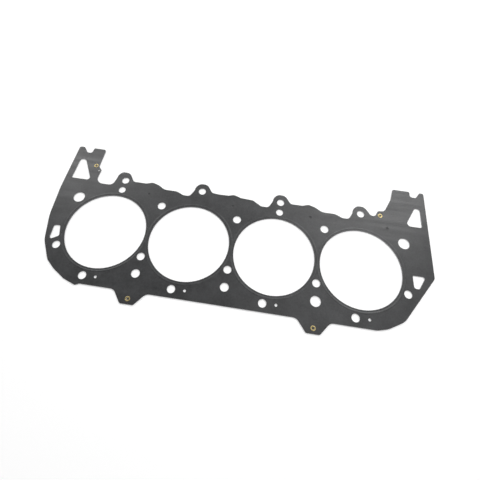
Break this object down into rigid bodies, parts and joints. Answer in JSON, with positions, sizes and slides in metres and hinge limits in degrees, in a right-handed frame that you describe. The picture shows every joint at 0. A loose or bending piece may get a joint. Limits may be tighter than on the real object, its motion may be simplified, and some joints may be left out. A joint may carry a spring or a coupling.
{
  "type": "cylinder head gasket",
  "caption": "Flat layered steel cylinder head gasket with a row of large bore openings, bolt and coolant holes, pressed sealing beads and small brass eyelets.",
  "frame": {"origin": "axis of the first cylinder opening, on the flat underside of the bottom layer, which lies on the engine block", "axes": "+X along the row of cylinder openings, +Y towards the edge with the ears, +Z through the gasket towards the cylinder head"},
  "size_m": [0.564, 0.2375, 0.0016],
  "materials": {
    "coated_sheet": "stainless spring steel with a thin black rubber coating, satin",
    "bare_sheet": "plain rolled stainless steel sheet",
    "eyelet_brass": "rolled tubular eyelet, slightly dull"
  },
  "bodies": {
    "root": {"bottom_layer": "coated_sheet", "core_layer": "bare_sheet", "top_layer": "coated_sheet", "eyelet_lower_left": "eyelet_brass", "eyelet_lower_right": "eyelet_brass", "eyelet_upper_left": "eyelet_brass", "eyelet_upper_right": "eyelet_brass"}
  },
  "joints": []
}
